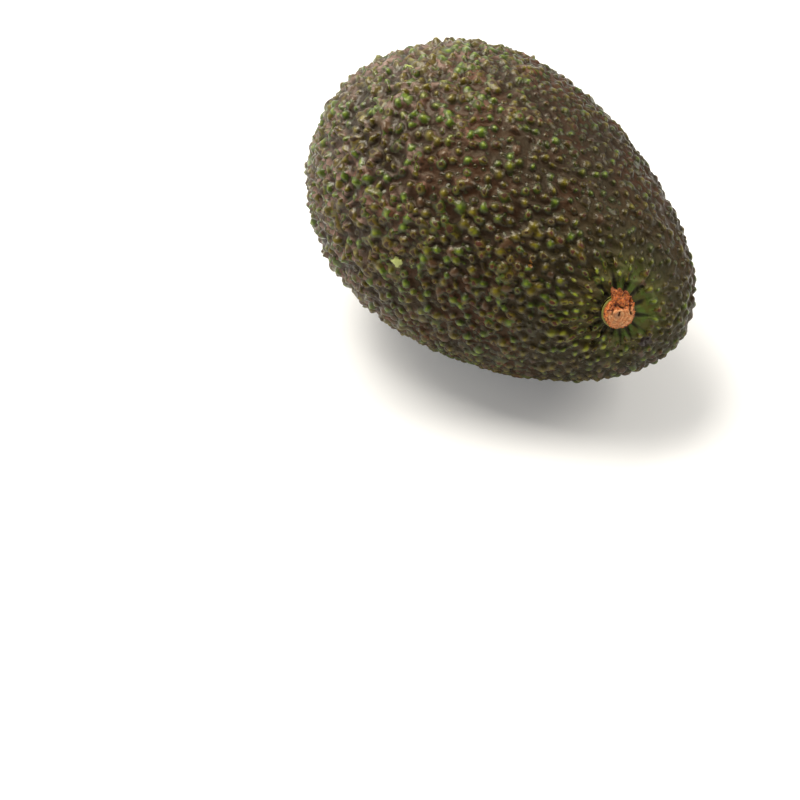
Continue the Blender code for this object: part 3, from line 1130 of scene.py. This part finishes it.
# Small marks on the skin: direction from the fruit's middle, radius and colour
MARKS = (
    ((-0.121, -0.973, 0.197), 1.5 * MM, linear(176, 184, 112)),
    ((-0.049, -0.975, 0.217), 1.3 * MM, linear(166, 176, 96)),
    ((-0.629, -0.103, 0.771), 1.4 * MM, linear(160, 176, 80)),
    ((0.941, -0.325, 0.095), 2.0 * MM, linear(38, 28, 32)),
    ((0.42, -0.70, 0.577), 1.2 * MM, linear(140, 92, 36)),
    ((-1.0, 0.0, 0.0), 2.4 * MM, linear(74, 52, 34)),
)
MARK_RAGGEDNESS = 2.4 * MM
RAGGED_SIZE = 1.1 * MM
WAX_SPAN = (5 * MM, -32 * MM)
WAX_SHARE = 0.3
FINE_SIZE = 0.45 * MM
CREASE_SIZE = 1.7 * MM


def marked(tree, place, colour, uneven):
    """A colour with the small marks laid over it."""
    for toward, size, shade in MARKS:
        centre = on_body(np.array([toward]) / np.linalg.norm(toward))[0]
        off = vectors(tree, "DISTANCE", place, spot(centre))
        ragged = plus(tree, off, times(tree, uneven, MARK_RAGGEDNESS))
        colour = blend(tree, ramp(tree, ragged, size, 0.7 * size), colour, shade)
    return colour


def build_skin_material():
    material, tree, surface = new_material("avocado_skin")
    place = place_on_object(tree)
    along = parts_of(tree, place)[0]
    edge, reach = attribute(tree, "edge"), attribute(tree, "reach")
    uneven = minus(tree, grain(tree, place, RAGGED_SIZE)["Height"], 0.5)
    nodules_over, scars = nodule_colour(tree, along, reach, edge, uneven)
    # Painted shade: the skin darkens where it lies low between the nodules, away from the stem
    painted_hollow_shade = ramp(tree, attribute(tree, "relief"), -0.1, -0.9, 0.0, HOLLOW_SHADE)
    colour = layered(tree, ground_colour(tree, place, along, reach), (
        (ramp(tree, edge, 1.25, 0.98), nodules_over),
        (times(tree, painted_hollow_shade, ramp(tree, reach, 8.0, 15.0)), HOLLOW_PAINTED_SHADE),
    ))

    on_nodule = ramp(tree, edge, 1.1, 0.8)
    rough = plus(tree, 0.5, times(tree, on_nodule, -0.2))
    waxy = ramp(tree, along, *WAX_SPAN, 0.0, WAX_SHARE)
    fine = times(tree, grain(tree, place, FINE_SIZE, 4.0)["Height"], 0.14)
    creased = times(tree, minus(tree, 1.0, on_nodule), 0.26)
    creased = times(tree, grain(tree, place, CREASE_SIZE)["Height"], creased)
    bump = {"Strength": 0.7, "Distance": MM, "Height": plus(tree, fine, creased)}
    set_inputs(tree, surface, {
        "Base Color": marked(tree, place, colour, uneven),
        "Roughness": plus(tree, rough, times(tree, scars, 0.35)),
        "Specular IOR Level": 0.29,
        "Specular Tint": (1.0, 0.87, 0.6, 1.0),
        "Coat Weight": plus(tree, times(tree, on_nodule, 0.2), waxy),
        "Coat Roughness": 0.18,
        "Normal": add_node(tree, "ShaderNodeBump", {}, bump)[0],
    })
    return material


skin_material = build_skin_material()
print("skin material has", len(skin_material.node_tree.nodes), "nodes")

# %% [markdown]
# ## Putting the skin together
# The tree is run once, its result is kept as a plain mesh, and the modifier and the seeds go.

# %% Raise the skin
def run_tree(thing, tree, values):
    """Evaluates a node tree on an object and keeps the result as its plain mesh."""
    modifier = thing.modifiers.new(tree.name, "NODES")
    modifier.node_group = tree
    sockets = {s.name: s.identifier for s in tree.interface.items_tree if s.in_out == "INPUT"}
    for label, value in values.items():
        modifier[sockets[label]] = value
    graph = bpy.context.evaluated_depsgraph_get()
    made = bpy.data.meshes.new_from_object(thing.evaluated_get(graph))
    thing.modifiers.clear()
    thing.data = made
    return thing


run_tree(skin, skin_tree, {
    "Large Seeds": large_seeds, "Small Seeds": small_seeds, "Skirt": SKIRT_SHARE,
    "Fold Height": FOLD_HEIGHT, "Fold Width": FOLD_WIDTH, "Lump Height": LUMP_HEIGHT,
    "Lump Size": LUMP_SIZE, "Crest Height": CREST_HEIGHT, "Crest Size": CREST_SIZE,
    "Sink": SINK, "Material": skin_material,
})
skin.data.shade_smooth()
for seeds in (large_seeds, small_seeds):
    bpy.data.objects.remove(seeds)
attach(skin, "root")
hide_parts("fruit")
print("the skin has", len(skin.data.polygons), "faces")

# %% [markdown]
# ## The stem button
# The dry end of the stem is a short woody plug. Its top is cut wood, its side is rough bark, and
# on one side the bark was torn when the fruit was picked: it takes away part of the cut face and
# leaves ragged scraps that lie out over the skin. A turned profile gives the plug, with a flange
# where the fruit's collar grips it.

# %% The button's profile
BUTTON_PROFILE = (
    (0.00 * MM, -1.25 * MM),
    (2.80 * MM, -1.25 * MM),
    (3.20 * MM, -0.90 * MM),
    (3.46 * MM, -0.20 * MM),
    (3.60 * MM, 0.15 * MM),
    (3.84 * MM, 0.45 * MM),
    (3.76 * MM, 0.70 * MM),
    (3.36 * MM, 0.86 * MM),
    (3.38 * MM, 1.45 * MM),
    (3.14 * MM, 1.94 * MM),
    (2.60 * MM, 2.34 * MM),
    (1.40 * MM, 2.46 * MM),
    (0.00 * MM, 2.40 * MM),
)
BUTTON_SIDES = 200
BUTTON_RINGS = 130


def button_line():
    """The profile as many even steps, with the share of cut wood at each."""
    corners = np.array(BUTTON_PROFILE)
    lengths = np.concatenate([[0], np.cumsum(np.linalg.norm(np.diff(corners, axis=0), axis=1))])
    steps = np.linspace(0, lengths[-1], BUTTON_RINGS)[1:-1]
    radius = np.interp(steps, lengths, corners[:, 0])
    height = np.interp(steps, lengths, corners[:, 1])
    return radius, height, smooth_step(steps, lengths[-4], lengths[-3])


print("the button is", 2 * max(r for r, _ in BUTTON_PROFILE) / MM, "mm wide")

# %% [markdown]
# The scraps are places where the plug's side is drawn out, each with its own place, width and
# length. A crack is a dent along a line on the cut face, which a noise makes wander.

# %% Scraps and cracks
# Each scrap of torn bark: where round the button, how wide, and how far it reaches
SCRAPS = (
    (math.radians(138), math.radians(11), 3.4 * MM),
    (math.radians(124), math.radians(14), 2.6 * MM),
    (math.radians(108), math.radians(15), 2.2 * MM),
    (math.radians(90), math.radians(15), 1.5 * MM),
    (math.radians(70), math.radians(14), 0.8 * MM),
    (math.radians(162), math.radians(9), 0.5 * MM),
    (math.radians(-97), math.radians(20), 0.45 * MM),
)
SCRAP_DROOP = 0.3
# Cracks across the cut face, as the ends of lines on it
CRACKS = (
    ((-2.2 * MM, 1.0 * MM), (-0.2 * MM, 1.5 * MM)),
    ((-2.9 * MM, 2.2 * MM), (-0.5 * MM, 3.0 * MM)),
    ((0.2 * MM, 2.6 * MM), (2.1 * MM, 1.1 * MM)),
    ((-0.4 * MM, -0.3 * MM), (-0.6 * MM, 0.3 * MM)),
    ((-1.9 * MM, -0.9 * MM), (-2.2 * MM, 0.1 * MM)),
)
CRACK_WIDTH = 0.15 * MM
CRACK_DEPTH = 0.45 * MM
CRACK_WANDER = 0.14 * MM


def noise_at(points, size, seed):
    """Smooth noise from -1 to 1 at each point, in lumps of a given size."""
    shift = Vector((seed * 17.3, seed * -7.7, seed * 3.1))
    return np.array([noise.noise(Vector(p) / size + shift) for p in points])


def crack_at(flat, wander):
    """1 along the middle of the cracks, for points seen from above."""
    deepest = np.zeros(len(flat))
    for start, end in (np.array(crack) for crack in CRACKS):
        along = np.clip(((flat - start) @ (end - start)) / ((end - start) @ (end - start)), 0, 1)
        off = np.linalg.norm(flat - start - along[:, None] * (end - start), axis=1)
        off = np.abs(off + CRACK_WANDER * wander)
        deepest = np.maximum(deepest, np.exp(-((off / CRACK_WIDTH) ** 2)))
    return deepest


def scrap_length(angle, radius, height, coarse, fine):
    """How far the torn bark reaches out at each point of the side."""
    scrap = np.zeros(len(angle))
    for place, spread, length in SCRAPS:
        turn = (angle - place + 0.09 * coarse + math.pi) % (2 * math.pi) - math.pi
        scrap = np.maximum(scrap, length * np.exp(-((turn / spread) ** 2)))
    scrap *= smooth_step(height, 1.0 * MM, 1.9 * MM) * smooth_step(radius, 1.5 * MM, 3.0 * MM)
    return scrap * (1 + 0.16 * coarse + 0.18 * fine)


print(len(SCRAPS), "scraps of bark and", len(CRACKS), "cracks")

# %% [markdown]
# Noise from a fixed field then roughens the plug, bark more than wood. The bark is torn away from
# one side of the cut face, and the whole plug leans a little, as no stem stands quite upright.

# %% Shape the button
LEAN = 0.3 * MM
LEAN_SIDE = math.radians(20)
TORN_SIDE = math.radians(126)
TORN_FROM = 0.95 * MM
TORN_DROP = 0.4 * MM


def shape_button():
    """Points of the button, how much of each is cut wood, and how deep in a crack it lies."""
    radius, height, cut = button_line()
    angle = np.arange(BUTTON_SIDES) * (2 * math.pi / BUTTON_SIDES)
    radius, height, cut = (np.repeat(v, BUTTON_SIDES) for v in (radius, height, cut))
    angle = np.tile(angle, BUTTON_RINGS - 2)
    flat = np.column_stack([radius * np.cos(angle), radius * np.sin(angle), height])
    coarse = noise_at(flat * (1, 1, 0.6), 0.9 * MM, 1)
    fine = noise_at(flat, 0.32 * MM, 2)
    scrap = scrap_length(angle, radius, height, coarse, fine)
    reach = radius + scrap
    drawn = np.column_stack([reach * np.cos(angle), reach * np.sin(angle), height])
    coarse, fine = noise_at(drawn, 0.8 * MM, 3), noise_at(drawn, 0.34 * MM, 4)
    side = np.array([math.cos(TORN_SIDE), math.sin(TORN_SIDE)])
    torn = smooth_step(flat[:, :2] @ side + 0.5 * MM * coarse, TORN_FROM, TORN_FROM + 0.5 * MM)
    crack = crack_at(flat[:, :2], coarse) * smooth_step(height, 1.6 * MM, 2.3 * MM)
    bark = np.maximum(1 - cut, torn) * smooth_step(height, 0.8 * MM, 1.1 * MM)
    out = (0.15 * MM * coarse + 0.12 * MM * fine) * bark + scrap
    lift = cut * (0.07 * MM * fine + 0.12 * MM * coarse)
    lift += bark * (0.3 * MM * coarse + 0.2 * MM * fine) - TORN_DROP * torn * cut
    lift -= SCRAP_DROOP * scrap + CRACK_DEPTH * crack
    radius = np.maximum(radius + out, 0.02 * MM)
    lean = LEAN * smooth_step(height, -0.2 * MM, 1.8 * MM)
    first = np.cos(angle) * radius + math.cos(LEAN_SIDE) * lean
    second = np.sin(angle) * radius + math.sin(LEAN_SIDE) * lean
    across = np.outer(first, STEM_FIRST) + np.outer(second, STEM_SECOND)
    rim = COLLAR_RISE - CAVITY_DEPTH
    placed = STEM_POINT + across + np.outer(height + lift + rim, STEM_NORMAL)
    return placed, cut * (1 - torn), crack


def build_button():
    points, cut, crack = shape_button()
    rings = BUTTON_RINGS - 2
    base = points[:BUTTON_SIDES].mean(axis=0)
    top = points[-BUTTON_SIDES:].mean(axis=0)
    last = (rings - 1) * BUTTON_SIDES
    faces = []
    for side in range(BUTTON_SIDES):
        after = (side + 1) % BUTTON_SIDES
        faces.append((rings * BUTTON_SIDES, after, side))
        faces.append((rings * BUTTON_SIDES + 1, last + side, last + after))
        for low in range(0, last, BUTTON_SIDES):
            high = low + BUTTON_SIDES
            faces.append((low + side, low + after, high + after, high + side))
    mesh = new_mesh("stem_plug", in_place(np.vstack([points, base, top])), faces)
    store(mesh, "cut", [*cut, 0.0, 1.0])
    store(mesh, "crack", [*crack, 0.0, 0.0])
    mesh.shade_smooth()
    return add_object("stem_plug", mesh)


button = build_button()
print("the stem button has", len(button.data.polygons), "faces")

# %% [markdown]
# ## The button's finish
# Its bark is orange-brown with dark red patches and pale spots, and its flange is green. The cut
# wood is tan, with faint rings about a greyish pith a little off the middle. Painted shade darkens
# the cracks and the part of the plug that sits deep in the socket. Height and distance from the
# stem's axis are worked out in the tree, so the rings need no image and no unwrapping.

# %% The stem's finish
BARK_ORANGE = linear(206, 106, 36)
BARK_PALE = linear(236, 158, 80)
BARK_RED = linear(88, 34, 18)
# Painted shade for the cracks and for the plug deep in the socket
CRACK_AND_SOCKET_SHADE = linear(52, 24, 14)
FLANGE_GREEN = linear(120, 118, 46)
WOOD_TAN = linear(222, 172, 118)
WOOD_BROWN = linear(150, 84, 42)
PITH_GREY = linear(134, 100, 74)
RING_SPACING = 0.85 * MM
RING_WOBBLE = 2.6
PITH_AT = (-0.43 * MM, -0.32 * MM)
FLANGE_TOP = -0.4 * MM
FLANGE_EDGE = 4.8 * MM


def wood_colour(tree, place, out):
    """Cut wood: rings that wobble, brown flecks, orange stains and a greyish pith."""
    wobble = grain(tree, place, 1.2 * MM)["Height"]
    rings = plus(tree, maths(tree, "DIVIDE", out, RING_SPACING), times(tree, wobble, RING_WOBBLE))
    rings = maths(tree, "SINE", times(tree, rings, 2 * math.pi))
    flecks = grain(tree, place, 0.6 * MM, 3.0, 0.46, 0.58)["Mask"]
    stains = grain(tree, place, 0.9 * MM, 3.0, 0.36, 0.56)["Mask"]
    return layered(tree, WOOD_TAN, (
        (ramp(tree, rings, -0.6, 1.0, 0.0, 0.6), WOOD_BROWN),
        (times(tree, flecks, 0.6), WOOD_BROWN),
        (times(tree, stains, 0.4), BARK_ORANGE),
        (ramp(tree, out, 1.3 * MM, 0.3 * MM, 0.0, 0.7), PITH_GREY),
    ))


def bark_colour(tree, place, up, out, fine):
    """Torn bark: orange with red patches and pale spots, and a green flange under it."""
    patches = grain(tree, place, 0.7 * MM, 3.0, 0.38, 0.5)["Mask"]
    spots = grain(tree, place, 0.4 * MM, 3.0, 0.52, 0.6)["Mask"]
    flange = ramp(tree, up, FLANGE_TOP, FLANGE_TOP - 0.12 * MM)
    flange = times(tree, flange, ramp(tree, out, FLANGE_EDGE, FLANGE_EDGE - 0.3 * MM))
    return layered(tree, BARK_RED, (
        (patches, BARK_ORANGE),
        (times(tree, spots, 0.7), BARK_PALE),
        (times(tree, fine, 0.65), BARK_RED),
        (flange, FLANGE_GREEN),
        (ramp(tree, out, 4.6 * MM, 6.6 * MM, 0.0, 0.6), BARK_RED),
    ))


def build_stem_material():
    material, tree, surface = new_material("stem_wood")
    place = place_on_object(tree)
    pith = STEM_POINT + PITH_AT[0] * STEM_FIRST + PITH_AT[1] * STEM_SECOND
    away = vectors(tree, "SUBTRACT", place, spot(pith))
    normal = tuple(pitched(STEM_NORMAL[None])[0])
    up = vectors(tree, "DOT_PRODUCT", away, normal)
    out = vectors(tree, "LENGTH", vectors(tree, "SUBTRACT", away, scaled(tree, normal, up)))
    fine = grain(tree, place, 0.3 * MM, 4.0, 0.4, 0.62)
    colour = layered(tree, bark_colour(tree, place, up, out, fine["Mask"]), (
        (attribute(tree, "cut"), wood_colour(tree, place, out)),
        # painted shade down the cracks
        (times(tree, attribute(tree, "crack"), 0.85), CRACK_AND_SOCKET_SHADE),
        # painted shade on the plug where it sits deep in the socket
        (ramp(tree, up, -0.8 * MM, -1.2 * MM), CRACK_AND_SOCKET_SHADE),
    ))
    bump = {"Strength": 0.8, "Distance": 0.16 * MM, "Height": fine["Height"]}
    set_inputs(tree, surface, {
        "Base Color": colour,
        "Roughness": 0.62,
        "Normal": add_node(tree, "ShaderNodeBump", {}, bump)[0],
    })
    return material


button.data.materials.append(build_stem_material())
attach(button, "root")
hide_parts("stem_button")
print("stem material has", len(button.data.materials[0].node_tree.nodes), "nodes")

# %% [markdown]
# ## Floor and light
# The ground of the picture is white, with one soft shadow to the right of the fruit. A large soft
# light stands behind it on the left and a weak one on the right, and a small one gives the wet
# glints. The surroundings are bright behind the fruit on the left and dim on the camera's side, so
# the skin darkens towards the right. The floor glows a little for the camera alone, which keeps it
# white without lighting the fruit from below.

# %% Floor and light
FLOOR_SIZE = 6.0
FLOOR_WHITE = 0.76
FLOOR_GLOW = 0.18
SKY_COLOUR = (1.0, 0.97, 0.91, 1.0)
SKY_DIM = 0.07
SKY_BRIGHT = 1.6
SKY_TURN = math.radians(-138)
LIGHT_DISTANCE = 0.9
SOFT_WHITE = (1.0, 0.96, 0.88)
# Each light: turn from the camera's side and height, both in degrees, size and power
LIGHTS = {
    "key": (-116, 66, 0.6, 11.0),
    "fill": (92, 42, 0.5, 4.9),
    "glint": (-110, 60, 0.12, 0.3),
}


def add_floor():
    half = FLOOR_SIZE / 2
    corners = [(-half, -half, 0), (half, -half, 0), (half, half, 0), (-half, half, 0)]
    floor = add_object("floor", new_mesh("floor", corners, [(0, 1, 2, 3)]))
    material, tree, surface = new_material("floor_white")
    seen = add_node(tree, "ShaderNodeLightPath")["Is Camera Ray"]
    set_inputs(tree, surface, {
        "Base Color": (FLOOR_WHITE, FLOOR_WHITE, FLOOR_WHITE, 1),
        "Roughness": 0.9,
        "Emission Color": (1, 1, 1, 1),
        "Emission Strength": times(tree, seen, FLOOR_GLOW),
    })
    floor.data.materials.append(material)


def add_light(name, turn, height, size, power):
    """A square soft light that faces the fruit."""
    data = bpy.data.lights.new(name, "AREA")
    data.size = size
    data.energy = power
    data.color = SOFT_WHITE
    light = bpy.data.objects.new(name, data)
    back = toward_viewer(VIEW_AZIMUTH + math.radians(turn), math.radians(height))
    light.location = MIDDLE + back * LIGHT_DISTANCE
    light.rotation_euler = (-back).to_track_quat("-Z", "Y").to_euler()
    bpy.context.scene.collection.objects.link(light)


def add_sky():
    """White surroundings, dim on the camera's side and bright behind the fruit and to its left."""
    world = bpy.data.worlds.new("sky")
    world.use_nodes = True
    tree = world.node_tree
    place = add_node(tree, "ShaderNodeTexCoord")["Generated"]
    facing = vectors(tree, "DOT_PRODUCT", place, tuple(toward_viewer(VIEW_AZIMUTH + SKY_TURN, 0)))
    strength = ramp(tree, facing, -0.3, 0.95, SKY_DIM, SKY_BRIGHT)
    set_inputs(tree, tree.nodes["Background"], {"Color": SKY_COLOUR, "Strength": strength})
    bpy.context.scene.world = world


add_floor()
add_sky()
for light_name, facts_of_light in LIGHTS.items():
    add_light(light_name, *facts_of_light)
bpy.context.scene.view_settings.view_transform = "Standard"
print(len(LIGHTS), "lights round the fruit, each", LIGHT_DISTANCE, "m away")
